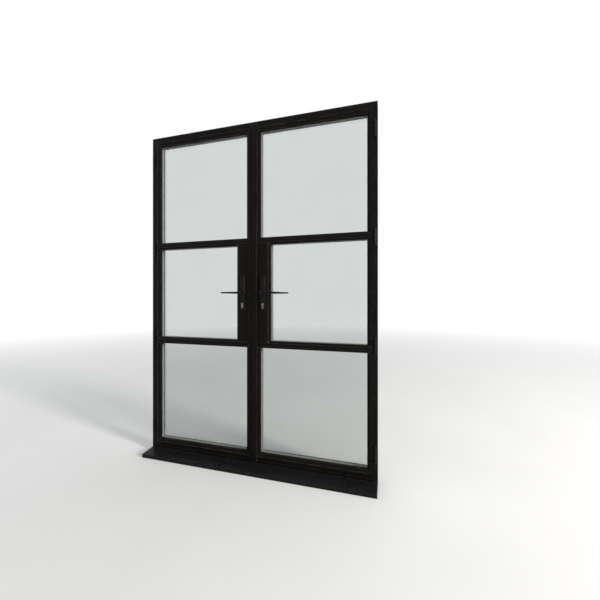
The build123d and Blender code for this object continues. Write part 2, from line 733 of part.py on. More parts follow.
def key_plug():
    """The outdoor plug with its keyway."""
    front = -(BACKPLATE + CYLINDER_PROUD)
    back = GROOVE_DEPTH_LINE - CAM_WIDTH / 2 - CAM_CLEARANCE
    plug = across(Circle(PLUG_RADIUS), LEVER_X, CYLINDER_Z, (front, back))
    keyway = (front - CUT_PAST, front + KEYWAY_DEPTH)
    return plug - across(Rectangle(KEYWAY_WIDTH, KEYWAY_HEIGHT), LEVER_X, CYLINDER_Z, keyway)


def thumb_turn():
    """The indoor plug with its cam and the wing that turns it."""
    cam = (GROOVE_DEPTH_LINE - CAM_WIDTH / 2, GROOVE_DEPTH_LINE + CAM_WIDTH / 2)
    body_end = LEAF_DEPTH + BACKPLATE + CYLINDER_PROUD
    collar = (body_end + TURN_GAP, body_end + TURN_GAP + TURN_COLLAR)
    wing = (collar[1], collar[1] + TURN_WING)
    piece = across(Circle(PLUG_RADIUS), LEVER_X, CYLINDER_Z, (cam[0], collar[0]))
    tongue = Rectangle(CAM_TONGUE, CAM_REACH, align=(Align.CENTER, Align.MAX))
    piece += across(tongue & Circle(CAM_REACH), LEVER_X, CYLINDER_Z, cam)
    piece += across(Circle(TURN_RADIUS), LEVER_X, CYLINDER_Z, collar)
    face = RectangleRounded(TURN_WING_WIDTH, 2 * TURN_RADIUS, TURN_WING_ROUND)
    grip = across(face, LEVER_X, CYLINDER_Z, wing)
    return piece + (grip & across(Circle(TURN_RADIUS), LEVER_X, CYLINDER_Z, wing))


def backplate():
    """The outdoor backplate, bored for the lever's neck and the cylinder."""
    height = BACKPLATE_ABOVE + BACKPLATE_BELOW
    middle = LEVER_Z + (BACKPLATE_ABOVE - BACKPLATE_BELOW) / 2
    face = RectangleRounded(BACKPLATE_WIDTH, height, BACKPLATE_CORNER)
    plate = across(face, LEVER_X, middle, (-BACKPLATE, 0))
    plate = fillet(plate.edges().group_by(Axis.Y)[0], BACKPLATE_ARRIS)
    through = (-BACKPLATE - CUT_PAST, CUT_PAST)
    plate -= across(Circle(NECK_RADIUS + NECK_CLEARANCE), LEVER_X, LEVER_Z, through)
    return plate - across(euro_profile(CYLINDER_FIT), LEVER_X, CYLINDER_Z, through)


def lever():
    """The outdoor lever: a round neck with a tapered grip that points to the hinges."""
    root = -GRIP_STAND - GRIP_ROOT / 2
    plan = outline(
        (-NECK_RADIUS, root + GRIP_ROOT),
        (-NECK_RADIUS, root),
        (GRIP_LENGTH, -GRIP_STAND - GRIP_TIP / 2),
        (GRIP_LENGTH, -GRIP_STAND + GRIP_TIP / 2),
    )
    front = outline(
        (-NECK_RADIUS, -GRIP_ROOT_HEIGHT / 2),
        (GRIP_LENGTH, -GRIP_TIP_HEIGHT / 2),
        (GRIP_LENGTH, GRIP_TIP_HEIGHT / 2),
        (-NECK_RADIUS, GRIP_ROOT_HEIGHT / 2),
    )
    plan = rounded(plan, [(-NECK_RADIUS, root)], ELBOW_ROUND)
    grip = extrude(plan, amount=GRIP_ROOT_HEIGHT, both=True) & across(front, 0, 0, (-2 * GRIP_STAND, 0))
    grip = fillet(grip.edges(), GRIP_ROUND)
    neck = across(Circle(NECK_RADIUS), 0, 0, (-GRIP_STAND, -NECK_END))
    socket = SPINDLE / 2 + SPINDLE_CLEARANCE
    bottom = -BACKPLATE - SPINDLE_IN_LEVER
    hole = block((-socket, socket), (bottom, 0), (-socket, socket))
    return Pos(LEVER_X, 0, LEVER_Z) * (grip + neck - hole)


def spindle():
    """The square bar that joins the two levers through the lock case."""
    half = SPINDLE / 2
    end = BACKPLATE + SPINDLE_IN_LEVER - SPINDLE_CLEARANCE
    y = (-end, LEAF_DEPTH + end)
    return block((LEVER_X - half, LEVER_X + half), y, (LEVER_Z - half, LEVER_Z + half))


def raised_bar():
    """The hollow bar that stands proud of the right leaf, down its meeting edge."""
    x = (LEAF_IN + RAISED_BAR_EDGE, LEAF_IN + RAISED_BAR_EDGE + RAISED_BAR_WIDTH)
    face = outline((x[0], -RAISED_BAR_STAND), (x[1], -RAISED_BAR_STAND), (x[1], 0), (x[0], 0))
    corners = [(x[0], -RAISED_BAR_STAND), (x[1], -RAISED_BAR_STAND)]
    section = rounded(face, corners, ARRIS) - chamber(face, RAISED_BAR_WALL)
    return Pos(0, 0, LEAF_BOTTOM) * extrude(section, amount=LEAF_HEIGHT)


def indoors(piece):
    """The same piece on the other face of the leaf."""
    return mirror(piece, about=Plane.XZ.offset(-LEAF_DEPTH / 2))


def leaf_parts():
    """Every piece that both leaves have, as the right leaf has it."""
    plate = backplate()
    handle = lever()
    return {
        "hinge_stile": hinge_stile(),
        "meeting_stile": meeting_stile(),
        "top_rail": top_rail(),
        "bottom_rail": bottom_rail(),
        "upper_bar": glazing_bar(UPPER_BAR_Z),
        "lower_bar": glazing_bar(LOWER_BAR_Z),
        "lock_panel": lock_panel(),
        "outer_panes": sheets(GLASS_FRONT),
        "inner_panes": sheets(GLASS_BACK - PANE),
        "glass_spacers": glass_spacers(),
        "glazing_beads": glazing_beads(),
        "gaskets": gaskets(),
        "hinge_leaf_halves": hinge_leaf_halves(),
        "faceplate": faceplate(),
        "lock_case": lock_case(),
        "top_bolt": top_bolt(),
        "bottom_bolt": bottom_bolt(),
        "lock_cylinder": lock_cylinder(),
        "key_plug": key_plug(),
        "thumb_turn": thumb_turn(),
        "backplates": [plate, indoors(plate)],
        "outer_lever": handle,
        "inner_lever": indoors(handle),
        "spindle": spindle(),
    }


def both_sides(pieces):
    """The pieces and their mirror images."""
    return list(pieces) + [mirror(piece, about=Plane.YZ) for piece in pieces]


def all_parts():
    """Every named part with the solids that it holds."""
    right_jamb = jamb()
    parts = {
        "sill": sill(),
        "sill_end_caps": sill_end_caps(),
        "threshold": threshold(),
        "head": head(),
        "left_jamb": mirror(right_jamb, about=Plane.YZ),
        "right_jamb": right_jamb,
        "frame_seals": frame_seals(),
        "bolt_keeps": bolt_keeps(),
        "hinge_frame_halves": both_sides(hinge_frame_halves()),
        "hinge_pins": both_sides([hinge_pin(level) for level in hinge_levels()]),
        "raised_bar": raised_bar(),
        "deadbolt": deadbolt(),
    }
    for name, piece in leaf_parts().items():
        solids = piece if isinstance(piece, list) else [piece]
        parts["right_" + name] = solids
        parts["left_" + name] = [mirror(solid, about=Plane.YZ) for solid in solids]
    return parts


def main():
    os.makedirs("parts", exist_ok=True)
    for name, piece in all_parts().items():
        solids = piece if isinstance(piece, list) else [piece]
        shape = solids[0] if len(solids) == 1 else Compound(children=solids)
        export_step(shape, "parts/" + name + ".step")


main()
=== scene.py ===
import json
import math

import bmesh
import bpy
from mathutils import Matrix, Vector


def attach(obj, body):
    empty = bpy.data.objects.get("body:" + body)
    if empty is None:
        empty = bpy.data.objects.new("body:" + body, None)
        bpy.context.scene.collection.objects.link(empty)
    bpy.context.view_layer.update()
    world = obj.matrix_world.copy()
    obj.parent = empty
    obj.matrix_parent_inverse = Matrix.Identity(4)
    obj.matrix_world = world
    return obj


# The dressed french doors: the CAD frame with its materials, its small fasteners and joint
# lines, a pale floor, soft light and the photograph's camera. The scene is in metres. The
# small pieces are drawn in millimetres, and add_piece brings them to metres.

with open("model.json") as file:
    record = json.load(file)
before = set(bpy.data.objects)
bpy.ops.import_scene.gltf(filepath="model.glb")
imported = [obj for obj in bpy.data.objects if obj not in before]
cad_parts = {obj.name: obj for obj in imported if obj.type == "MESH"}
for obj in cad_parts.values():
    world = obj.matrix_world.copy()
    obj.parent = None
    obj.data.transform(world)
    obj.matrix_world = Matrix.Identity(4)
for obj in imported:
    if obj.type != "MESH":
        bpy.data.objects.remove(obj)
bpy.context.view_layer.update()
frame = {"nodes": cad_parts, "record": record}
nodes = frame["nodes"]
MM = 0.001

# Sizes and places that the source of the solids also uses, in millimetres
LEAF_IN = 2.75
LEAF_OUT = 731.0
LEAF_BOTTOM = 49.0
LEAF_TOP = 2115.0
LEAF_DEPTH = 62.0
LEAF_MEMBER = 43.0
LEAF_BEVEL = 20.5
BEVEL_STEP = 4.0
BEVEL_BACK = 10.0
ARRIS = 1.0
REBATE = 12.0
HALF_WIDTH = 745.0
FRAME_TOP = 2129.0
FRAME_FACE = 10.5
FRAME_DEPTH = 76.0
STOP_REACH = 33.0
STOP_FRONT = 65.0
SEAL_SETBACK = 2.0
SEAL_WIDTH = 8.0
GROOVE_DEPTH_LINE = 31.0
LEVER_X = 68.0
LEVER_Z = 1077.0
CYLINDER_Z = 1005.0
BACKPLATE = 9.0
HINGE_PLATE = 1.5
HINGE_LOWEST = 183.0
HINGE_HIGHEST = 1975.0
HINGE_COUNT = 4
KEEP_UNDER_HEAD = 2117.0
KEEP_ON_THRESHOLD = 47.0

# Screws: depth and rise from a hinge's middle, heights up the faceplate, places along a keep,
# and rises from the lever's axis
HINGE_SCREWS = ((14.0, -33.0), (32.0, -17.0), (14.0, 33.0), (32.0, 17.0))
FACEPLATE_SCREW_LOWEST = 170.0
FACEPLATE_SCREW_PITCH = 228.0
FACEPLATE_SCREW_COUNT = 9
KEEP_SCREWS = (-18.2, 0.0, 18.2)
HANDLE_SCREWS = (95.0, -36.0)

# Each lever's set screw: how far under the lever's axis, and how far out from the leaf's face
SET_SCREW_DROP = 8.7
SET_SCREW_STAND = 19.0

# How far screws are turned, in radians, so that their recesses don't line up
HINGE_SCREW_TURN = 0.7
FACEPLATE_SCREW_TURN = 0.9
CYLINDER_SCREW_TURN = 0.4
THRESHOLD_SCREW_TURN = 1.0
HANDLE_SCREW_TURN = 0.5
SET_SCREW_TURN = 0.3

# A screw head's outline: below its seat both numbers are shares of its radius, and above it
# they are shares of its radius and of its rise
HEAD_UNDER = ((0.0, -0.6), (0.45, -0.6), (1.0, 0.0))
HEAD_OVER = ((0.97, 0.35), (0.75, 0.75), (0.4, 0.95), (0.0, 1.0))
HEAD_STEPS = 24

# The cross recess, as shares of the head's radius, and how much of it is left at its foot
RECESS_REACH = 0.55
RECESS_WIDTH = 0.2
RECESS_DEPTH = 0.38
RECESS_FOOT_REACH = 0.45
RECESS_FOOT_WIDTH = 0.8

# A set screw: its chamfer, how far its socket is cut past its top, and the socket's size as
# shares of the screw's radius and length
SET_SCREW_CHAMFER = 0.25
SET_SCREW_STEPS = 20
SOCKET_PAST = 1.0
SOCKET_RADIUS = 0.5
SOCKET_DEPTH = 0.6
SOCKET_SIDES = 6

# Corners nearer than this, after a cut, are one
CUT_SLACK = 0.002

# The joint lines: how wide they are, how far they stand proud and how deep they reach in
SEAM_WIDTH = 0.35
SEAM_PROUD = 0.04
SEAM_SUNK = 0.1

# How far the joint lines stay inside the leaf's outer arris, off an edge, off the corner of
# the frame's stop and off its seal, and how far before its back the leaf's bevel ends
SEAM_IN_ARRIS = 0.9
SEAM_OFF_EDGE = 0.2
SEAM_OFF_CORNER = 0.3
SEAM_OFF_SEAL = 1.0
LIP_FALL = 0.3


def colour(red, green, blue):
    return (red, green, blue, 1.0)


# Paler edges, partly rubbed wear and partly a painted highlight: how far they reach, in metres,
# and the cosines between which they fade in
EDGE_REACH = 0.0018
EDGE_FADE = (0.995, 0.8)
EDGE_SAMPLES = 4

# Glass: its tint, its dust's colour and share, and its waves' stretch along each axis
GLASS_TINT = colour(0.8, 0.822, 0.815)
GLASS_DUST = colour(0.76, 0.77, 0.76)
GLASS_DUST_SHARE = 0.3
GLASS_WAVES = (1.5, 1.5, 3.0)

# The floor, in metres. It fades to white between the two reaches of FLOOR_FADE.
FLOOR_DARK = colour(0.78, 0.78, 0.775)
FLOOR_LIGHT = colour(0.81, 0.81, 0.805)
FLOOR_RADIUS = 40.0
FLOOR_STEPS = 96
FLOOR_FADE = (2.2, 9.0)

# The world's even light, and the white that shows as its background
DAYLIGHT = colour(0.97, 0.985, 1.0)
DAYLIGHT_LEVEL = 0.64
WHITE = colour(1.0, 1.0, 1.0)
WHITE_LEVEL = 1.0

# The photograph's camera: its place in metres, and its lens and sensor in millimetres
CAMERA_PLACE = (0.7856, -1.7055, 1.0487)
CAMERA_TURN = math.radians(15.85)
CAMERA_LENS = 18.05
CAMERA_SENSOR = 36.0
CAMERA_SHIFT = -0.0045
CAMERA_NEAR = 0.02


# Materials

class Shader:
    """A new material with short calls for its nodes."""

    def __init__(self, name):
        self.material = bpy.data.materials.new(name)
        self.material.use_nodes = True
        self.tree = self.material.node_tree
        self.tree.nodes.clear()
        self.output = self.node("ShaderNodeOutputMaterial")
        self.surface = self.node("ShaderNodeBsdfPrincipled")
        self.link(self.surface.outputs[0], self.output.inputs["Surface"])
        self.place = self.node("ShaderNodeTexCoord").outputs["Object"]
        self.normal = None

    def node(self, kind):
        return self.tree.nodes.new(kind)

    def link(self, start, end):
        self.tree.links.new(start, end)

    def put(self, socket, value):
        """Sets an input to a number or colour, or joins it to another node's output."""
        if isinstance(value, bpy.types.NodeSocket):
            self.link(value, socket)
        else:
            socket.default_value = value

    def set(self, **values):
        """Sets the surface's inputs, named with underscores for spaces."""
        for name, value in values.items():
            self.put(self.surface.inputs[name.replace("_", " ")], value)

    def stretched(self, x, y, z):
        """The object's coordinates, stretched along each axis."""
        node = self.node("ShaderNodeMapping")
        node.inputs["Scale"].default_value = (x, y, z)
        self.link(self.place, node.inputs["Vector"])
        return node.outputs[0]

    def noise(self, scale, detail=3.0, roughness=0.55, place=None):
        """Cloudy noise from 0 to 1."""
        node = self.node("ShaderNodeTexNoise")
        node.inputs["Scale"].default_value = scale
        node.inputs["Detail"].default_value = detail
        node.inputs["Roughness"].default_value = roughness
        self.link(place or self.place, node.inputs["Vector"])
        return node.outputs["Fac"]

    def spread(self, value, span, onto=(0.0, 1.0)):
        """Carries a value from one range onto another, held at both ends."""
        node = self.node("ShaderNodeMapRange")
        self.put(node.inputs["Value"], value)
        for name, number in zip(("From Min", "From Max", "To Min", "To Max"), span + onto):
            node.inputs[name].default_value = number
        return node.outputs[0]

    def math(self, operation, first, second):
        """Two values added or multiplied."""
        node = self.node("ShaderNodeMath")
        node.operation = operation
        self.put(node.inputs[0], first)
        self.put(node.inputs[1], second)
        return node.outputs[0]

    def mix(self, share, first, second):
        """A colour between two colours."""
        node = self.node("ShaderNodeMix")
        node.data_type = "RGBA"
        # The node's colour sockets are inputs 6 and 7 and output 2
        self.put(node.inputs[0], share)
        self.put(node.inputs[6], first)
        self.put(node.inputs[7], second)
        return node.outputs[2]

    def edges(self):
        """1 on sharp edges and 0 on flat ground."""
        bevel = self.node("ShaderNodeBevel")
        bevel.samples = EDGE_SAMPLES
        bevel.inputs["Radius"].default_value = EDGE_REACH
        geometry = self.node("ShaderNodeNewGeometry")
        dot = self.node("ShaderNodeVectorMath")
        dot.operation = "DOT_PRODUCT"
        self.link(bevel.outputs[0], dot.inputs[0])
        self.link(geometry.outputs["Normal"], dot.inputs[1])
        return self.spread(dot.outputs["Value"], EDGE_FADE)

    def bump(self, height, depth, strength):
        """Lays a bump of a depth in metres over the bumps before it."""
        node = self.node("ShaderNodeBump")
        node.inputs["Strength"].default_value = strength
        node.inputs["Distance"].default_value = depth
        self.link(height, node.inputs["Height"])
        if self.normal:
            self.link(self.normal, node.inputs["Normal"])
        self.normal = node.outputs[0]
        self.link(self.normal, self.surface.inputs["Normal"])

    def overlay(self, share, shader):
        """Shows another shader in place of the surface, by a share."""
        both = self.node("ShaderNodeMixShader")
        self.link(share, both.inputs[0])
        self.link(self.surface.outputs[0], both.inputs[1])
        self.link(shader, both.inputs[2])
        self.link(both.outputs[0], self.output.inputs["Surface"])


def coating(name, dark, light, edge_wear_and_highlight_colour, grain, roughness, edge_wear_and_highlight, shine):
    """Powder coat: a fine orange-peel grain, cloudy tone, and edges made paler, partly as rubbed
    wear and partly as a painted highlight.
    """
    s = Shader(name)
    clouds = s.noise(scale=4.0, detail=4.0)
    dust = s.noise(scale=31.0, detail=5.0, roughness=0.6)
    tone = s.spread(s.math("MULTIPLY", clouds, dust), (0.12, 0.42))
    specks = s.spread(s.noise(scale=grain * 0.6, detail=2.0), (0.66, 0.74), (0.0, 0.35))
    # Every edge is painted paler in patches: partly rubbed wear, partly a painted highlight
    # standing in for lit edges
    edge_wear_and_highlight_noise = s.noise(scale=17.0, detail=6.0, roughness=0.6)
    edge_wear_and_highlight_patches = s.spread(edge_wear_and_highlight_noise, (0.36, 0.68), (0.15 * edge_wear_and_highlight, edge_wear_and_highlight))
    edge_wear_and_highlight_mask = s.math("MULTIPLY", s.edges(), edge_wear_and_highlight_patches)
    body = s.mix(specks, s.mix(tone, dark, light), light)
    s.set(Base_Color=s.mix(edge_wear_and_highlight_mask, body, edge_wear_and_highlight_colour))
    s.set(Specular_IOR_Level=shine)
    marks = s.math("ADD", clouds, dust)
    s.set(Roughness=s.spread(marks, (0.75, 1.3), (roughness - 0.05, roughness + 0.08)))
    s.bump(s.noise(scale=grain, detail=2.0), depth=0.00006, strength=0.45)
    s.bump(s.noise(scale=grain * 0.22, detail=1.0), depth=0.00012, strength=0.25)
    return s.material


def brushed(name, dark, light, roughness, along):
    """Bare metal with fine lines along one axis and handling marks."""
    s = Shader(name)
    lines = s.noise(scale=1.0, detail=4.0, roughness=0.7, place=s.stretched(*along))
    clouds = s.noise(scale=45.0, detail=4.0)
    tone = s.spread(s.math("MULTIPLY", lines, clouds), (0.12, 0.4))
    s.set(Base_Color=s.mix(tone, dark, light))
    s.set(Metallic=1.0)
    marks = s.math("ADD", lines, clouds)
    s.set(Roughness=s.spread(marks, (0.75, 1.3), (roughness - 0.08, roughness + 0.1)))
    s.bump(lines, depth=0.00003, strength=0.4)
    s.bump(s.noise(scale=900.0, detail=2.0), depth=0.00003, strength=0.3)
    return s.material


def glass():
    """Clear float glass with a faint green body, slow roller waves and a trace of dust.

    Shadows pass through it, tinted."""
    s = Shader("dressed_clear_glass")
    dust = s.spread(s.noise(scale=5.0, detail=6.0, roughness=0.65), (0.4, 0.75))
    dusted = s.math("MULTIPLY", dust, GLASS_DUST_SHARE)
    s.set(Base_Color=s.mix(dusted, GLASS_TINT, GLASS_DUST))
    s.set(Transmission_Weight=1.0)
    s.set(IOR=1.45)
    s.set(Roughness=s.spread(dust, (0.0, 1.0), (0.0, 0.004)))
    waves = s.noise(scale=1.0, detail=0.0, roughness=0.5, place=s.stretched(*GLASS_WAVES))
    s.bump(waves, depth=0.0004, strength=0.08)
    clear = s.node("ShaderNodeBsdfTransparent")
    clear.inputs["Color"].default_value = GLASS_TINT
    s.overlay(s.node("ShaderNodeLightPath").outputs["Is Shadow Ray"], clear.outputs[0])
    return s.material


def moulded(name, dark, light, grain, roughness, depth):
    """Moulded plastic or extruded rubber: matt, with a fine grain and a dusty bloom."""
    s = Shader(name)
    bloom = s.spread(s.noise(scale=24.0, detail=5.0), (0.4, 0.7))
    s.set(Base_Color=s.mix(bloom, dark, light))
    grains = s.noise(scale=grain)
    s.set(Roughness=s.spread(grains, (0.3, 0.7), (roughness - 0.08, roughness + 0.08)))
    s.set(Specular_IOR_Level=0.3)
    s.bump(grains, depth=depth, strength=0.5)
    return s.material


LOOKS = {
    "profile_coating": coating(
        "dressed_profile_coating",
        dark=colour(0.004, 0.0034, 0.003),
        light=colour(0.0068, 0.0058, 0.0051),
        edge_wear_and_highlight_colour=colour(0.27, 0.255, 0.235),
        grain=1500.0,
        roughness=0.33,
        edge_wear_and_highlight=0.8,
        shine=0.05,
    ),
    "hinge_coating": coating(
        "dressed_hinge_coating",
        dark=colour(0.0045, 0.0041, 0.0038),
        light=colour(0.0078, 0.0071, 0.0066),
        edge_wear_and_highlight_colour=colour(0.24, 0.23, 0.215),
        grain=1900.0,
        roughness=0.3,
        edge_wear_and_highlight=0.8,
        shine=0.1,
    ),
    "handle_coating": coating(
        "dressed_handle_coating",
        dark=colour(0.0038, 0.0034, 0.0031),
        light=colour(0.0065, 0.0058, 0.0053),
        edge_wear_and_highlight_colour=colour(0.2, 0.193, 0.182),
        grain=1900.0,
        roughness=0.24,
        edge_wear_and_highlight=0.7,
        shine=0.1,
    ),
    "bright_steel": brushed(
        "dressed_bright_steel",
        dark=colour(0.3, 0.3, 0.293),
        light=colour(0.5, 0.5, 0.49),
        roughness=0.34,
        along=(900.0, 900.0, 18.0),
    ),
    "nickel": brushed(
        "dressed_nickel",
        dark=colour(0.13, 0.125, 0.115),
        light=colour(0.22, 0.215, 0.2),
        roughness=0.3,
        along=(1100.0, 30.0, 1100.0),
    ),
    "clear_glass": glass(),
    "black_plastic": moulded(
        "dressed_black_plastic",
        dark=colour(0.012, 0.012, 0.013),
        light=colour(0.024, 0.024, 0.025),
        grain=1100.0,
        roughness=0.5,
        depth=0.00006,
    ),
    "spacer_plastic": moulded(
        "dressed_spacer_plastic",
        dark=colour(0.38, 0.37, 0.355),
        light=colour(0.46, 0.448, 0.43),
        grain=1300.0,
        roughness=0.5,
        depth=0.00005,
    ),
    "seal_rubber": moulded(
        "dressed_seal_rubber",
        dark=colour(0.009, 0.009, 0.009),
        light=colour(0.026, 0.026, 0.025),
        grain=700.0,
        roughness=0.72,
        depth=0.00008,
    ),
}

# The sill's coat is the black coat made lighter and bluer: a painted reflection of the sky on its
# top
sill_coating_painted_reflection = coating(
    "dressed_sill_coating_painted_reflection",
    dark=colour(0.0078, 0.0083, 0.0087),
    light=colour(0.0102, 0.0108, 0.0112),
    edge_wear_and_highlight_colour=colour(0.24, 0.235, 0.22),
    grain=1300.0,
    roughness=0.3,
    edge_wear_and_highlight=0.8,
    shine=0.06,
)


def dress(node, material):
    """Gives a CAD node its material."""
    for material_slot in nodes[node].material_slots:
        material_slot.material = material


for subpart in frame["record"]["subparts"]:
    dress(subpart["node"], LOOKS[subpart["material_slot"]])
for name in ("sill", "sill_end_caps"):
    dress(name, sill_coating_painted_reflection)


# Small pieces that the solids leave to the scene

def add_object(name, bm):
    """Turns a bmesh into an object of the scene."""
    mesh = bpy.data.meshes.new(name)
    bm.to_mesh(mesh)
    bm.free()
    obj = bpy.data.objects.new(name, mesh)
    bpy.context.scene.collection.objects.link(obj)
    return obj


def add_piece(name, bm, body, slot_name):
    """Turns a bmesh in millimetres into a piece that rides on a body."""
    bmesh.ops.scale(bm, vec=(MM, MM, MM), verts=bm.verts)
    bmesh.ops.recalc_face_normals(bm, faces=bm.faces)
    obj = add_object(name, bm)
    obj.data.materials.append(LOOKS[slot_name])
    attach(obj, body)


def lathe(profile, steps):
    """A closed turned form round Z from (radius, height) pairs that start and end on the axis."""
    bm = bmesh.new()
    rings = []
    for radius, height in profile:
        turns = [2 * math.pi * i / steps for i in range(steps)] if radius else [0.0]
        places = [(radius * math.cos(a), radius * math.sin(a), height) for a in turns]
        rings.append([bm.verts.new(place) for place in places])
    for low, high in zip(rings, rings[1:]):
        for i in range(steps):
            j = (i + 1) % steps
            corners = [low[i % len(low)], low[j % len(low)]]
            corners += [high[j % len(high)], high[i % len(high)]]
            bm.faces.new(list(dict.fromkeys(corners)))
    return bm


def cross_recess(reach, width, top, depth):
    """A cross-shaped cutter that narrows towards its foot."""
    bm = bmesh.new()
    for turn in (0, math.pi / 2):
        made = bmesh.ops.create_cube(bm, size=1.0)["verts"]
        bmesh.ops.scale(bm, vec=(2 * reach, width, 2 * depth), verts=made)
        for vert in made:
            if vert.co.z < 0:
                vert.co.x *= RECESS_FOOT_REACH
                vert.co.y *= RECESS_FOOT_WIDTH
        bmesh.ops.translate(bm, vec=(0, 0, top), verts=made)
        matrix = Matrix.Rotation(turn, 3, "Z")
        bmesh.ops.rotate(bm, cent=(0, 0, 0), matrix=matrix, verts=made)
    return bm


def carved(form, cutter):
    """The form with the cutter's space taken out of it, as a mesh."""
    made = [add_object("carving", bm) for bm in (form, cutter)]
    cut = made[0].modifiers.new("cut", "BOOLEAN")
    cut.object = made[1]
    cut.operation = "DIFFERENCE"
    cut.solver = "EXACT"
    cut.use_self = True
    seen = made[0].evaluated_get(bpy.context.evaluated_depsgraph_get())
    result = bpy.data.meshes.new_from_object(seen)
    for obj in made:
        bpy.data.objects.remove(obj)
    bm = bmesh.new()
    bm.from_mesh(result)
    bmesh.ops.remove_doubles(bm, verts=bm.verts, dist=CUT_SLACK)
    bmesh.ops.dissolve_degenerate(bm, dist=CUT_SLACK, edges=bm.edges)
    bm.to_mesh(result)
    bm.free()
    return result


def screw_head(radius, proud):
    """A raised countersunk head with a cross recess, seated at height 0."""
    profile = [(across * radius, rise * radius) for across, rise in HEAD_UNDER]
    profile += [(across * radius, rise * proud) for across, rise in HEAD_OVER]
    recess = cross_recess(
        reach=RECESS_REACH * radius,
        width=RECESS_WIDTH * radius,
        top=proud,
        depth=RECESS_DEPTH * radius,
    )
    return carved(lathe(profile, HEAD_STEPS), recess)


def socket_screw(radius, length):
    """A short round set screw with a six-sided socket, its top at height 0."""
    profile = [(0, -length), (radius, -length), (radius, -SET_SCREW_CHAMFER)]
    profile += [(radius - SET_SCREW_CHAMFER, 0.0), (0, 0.0)]
    foot = -SOCKET_DEPTH * length
    inside = SOCKET_RADIUS * radius
    socket = [(0, foot), (inside, foot), (inside, SOCKET_PAST), (0, SOCKET_PAST)]
    return carved(lathe(profile, SET_SCREW_STEPS), lathe(socket, SOCKET_SIDES))


def pose(place, facing, turn):
    """A place with its Z axis turned to face a direction, and then turned round that axis."""
    faced = Vector(facing).to_track_quat("Z", "Y").to_matrix().to_4x4()
    return Matrix.Translation(place) @ faced @ Matrix.Rotation(turn, 4, "Z")


def add_fasteners(name, parts, body, slot_name):
    """One piece made of copies of small meshes, each with its own place."""
    bm = bmesh.new()
    for mesh, place in parts:
        before = len(bm.verts)
        bm.from_mesh(mesh)
        bm.verts.ensure_lookup_table()
        bmesh.ops.transform(bm, matrix=place, verts=bm.verts[before:])
    add_piece(name, bm, body, slot_name)


plate_head = screw_head(radius=3.4, proud=0.16)
edge_head = screw_head(radius=3.6, proud=0.35)
keep_head = screw_head(radius=2.9, proud=0.4)
handle_head = screw_head(radius=3.3, proud=0.9)
cylinder_head = screw_head(radius=4.0, proud=0.4)
set_screw = socket_screw(radius=2.5, length=1.2)


def hinge_screws(side, plate, facing):
    """The screws through one plate of every hinge on a side."""
    screws = []
    pitch = (HINGE_HIGHEST - HINGE_LOWEST) / (HINGE_COUNT - 1)
    for level in [HINGE_LOWEST + pitch * i for i in range(HINGE_COUNT)]:
        for i, (depth, rise) in enumerate(HINGE_SCREWS):
            place = (side * plate, depth, level + rise)
            turn = HINGE_SCREW_TURN * i + level
            screws.append((plate_head, pose(place, (side * facing, 0, 0), turn)))
    return screws


def edge_screws(side):
    """The screws down a leaf's faceplate, and the one that holds its cylinder."""
    screws = []
    facing = (-side, 0, 0)
    for i in range(FACEPLATE_SCREW_COUNT):
        height = FACEPLATE_SCREW_LOWEST + FACEPLATE_SCREW_PITCH * i
        place = (side * LEAF_IN, GROOVE_DEPTH_LINE, height)
        screws.append((edge_head, pose(place, facing, FACEPLATE_SCREW_TURN * i)))
    place = (side * LEAF_IN, GROOVE_DEPTH_LINE, CYLINDER_Z)
    screws.append((cylinder_head, pose(place, facing, CYLINDER_SCREW_TURN)))
    return screws


def keep_screws():
    """The screws in both keeps."""
    screws = []
    for x in KEEP_SCREWS:
        above = (x, GROOVE_DEPTH_LINE, KEEP_UNDER_HEAD)
        below = (x, GROOVE_DEPTH_LINE, KEEP_ON_THRESHOLD)
        screws.append((keep_head, pose(above, (0, 0, -1), x)))
        screws.append((keep_head, pose(below, (0, 0, 1), THRESHOLD_SCREW_TURN + x)))
    return screws


def handle_screws(side):
    """The screws through a leaf's indoor backplate."""
    screws = []
    for rise in HANDLE_SCREWS:
        place = (side * LEVER_X, LEAF_DEPTH + BACKPLATE, LEVER_Z + rise)
        screws.append((handle_head, pose(place, (0, 1, 0), HANDLE_SCREW_TURN + side)))
    return screws


def set_screws(side):
    """The set screws under both levers of a leaf."""
    screws = []
    for depth in (-SET_SCREW_STAND, LEAF_DEPTH + SET_SCREW_STAND):
        place = (side * LEVER_X, depth, LEVER_Z - SET_SCREW_DROP)
        screws.append((set_screw, pose(place, (0, 0, -1), SET_SCREW_TURN)))
    return screws


frame_plate = HALF_WIDTH - FRAME_FACE - HINGE_PLATE
frame_screws = hinge_screws(-1, frame_plate, -1) + hinge_screws(1, frame_plate, -1)
add_fasteners("frame_screws", frame_screws + keep_screws(), "frame", "bright_steel")

for side, word in ((-1, "left"), (1, "right")):
    leaf = word + "_leaf"
    leaf_screws = hinge_screws(side, LEAF_OUT + HINGE_PLATE, 1) + edge_screws(side)
    add_fasteners(word + "_leaf_screws", leaf_screws, leaf, "bright_steel")
    add_fasteners(word + "_handle_screws", handle_screws(side), leaf, "handle_coating")
    add_fasteners(
        word + "_lever_set_screws", set_screws(side), word + "_lever_set", "bright_steel"
    )


